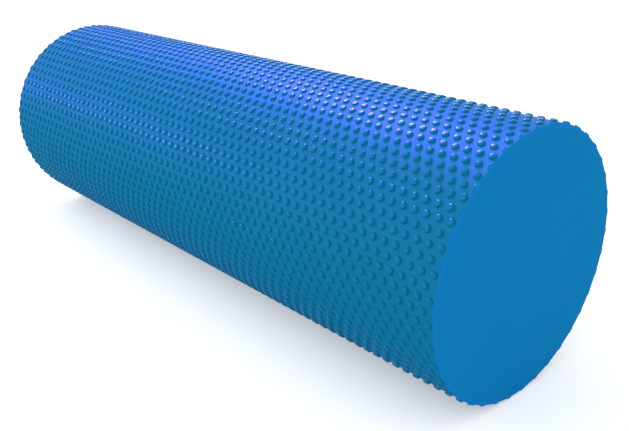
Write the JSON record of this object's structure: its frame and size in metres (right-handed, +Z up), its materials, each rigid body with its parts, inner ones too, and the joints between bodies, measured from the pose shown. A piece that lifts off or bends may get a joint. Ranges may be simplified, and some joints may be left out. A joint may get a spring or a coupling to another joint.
{
  "type": "massage roller",
  "caption": "Solid round foam roller with a textured cover of small raised bumps and smooth flat ends, for massage and floor exercise.",
  "frame": {"origin": "on the floor, under the middle of the roller", "axes": "+X along the roller's axis towards its right-hand end, +Z up, +Y to the back, the side away from the picture's viewer"},
  "size_m": [0.45, 0.1498, 0.1496],
  "materials": {
    "cover_foam": "satin",
    "disc_foam": "matte",
    "core_foam": "matte"
  },
  "bodies": {
    "root": {"foam_core": "core_foam", "textured_cover": "cover_foam", "end_disc_left": "disc_foam", "end_disc_right": "disc_foam"}
  },
  "joints": []
}
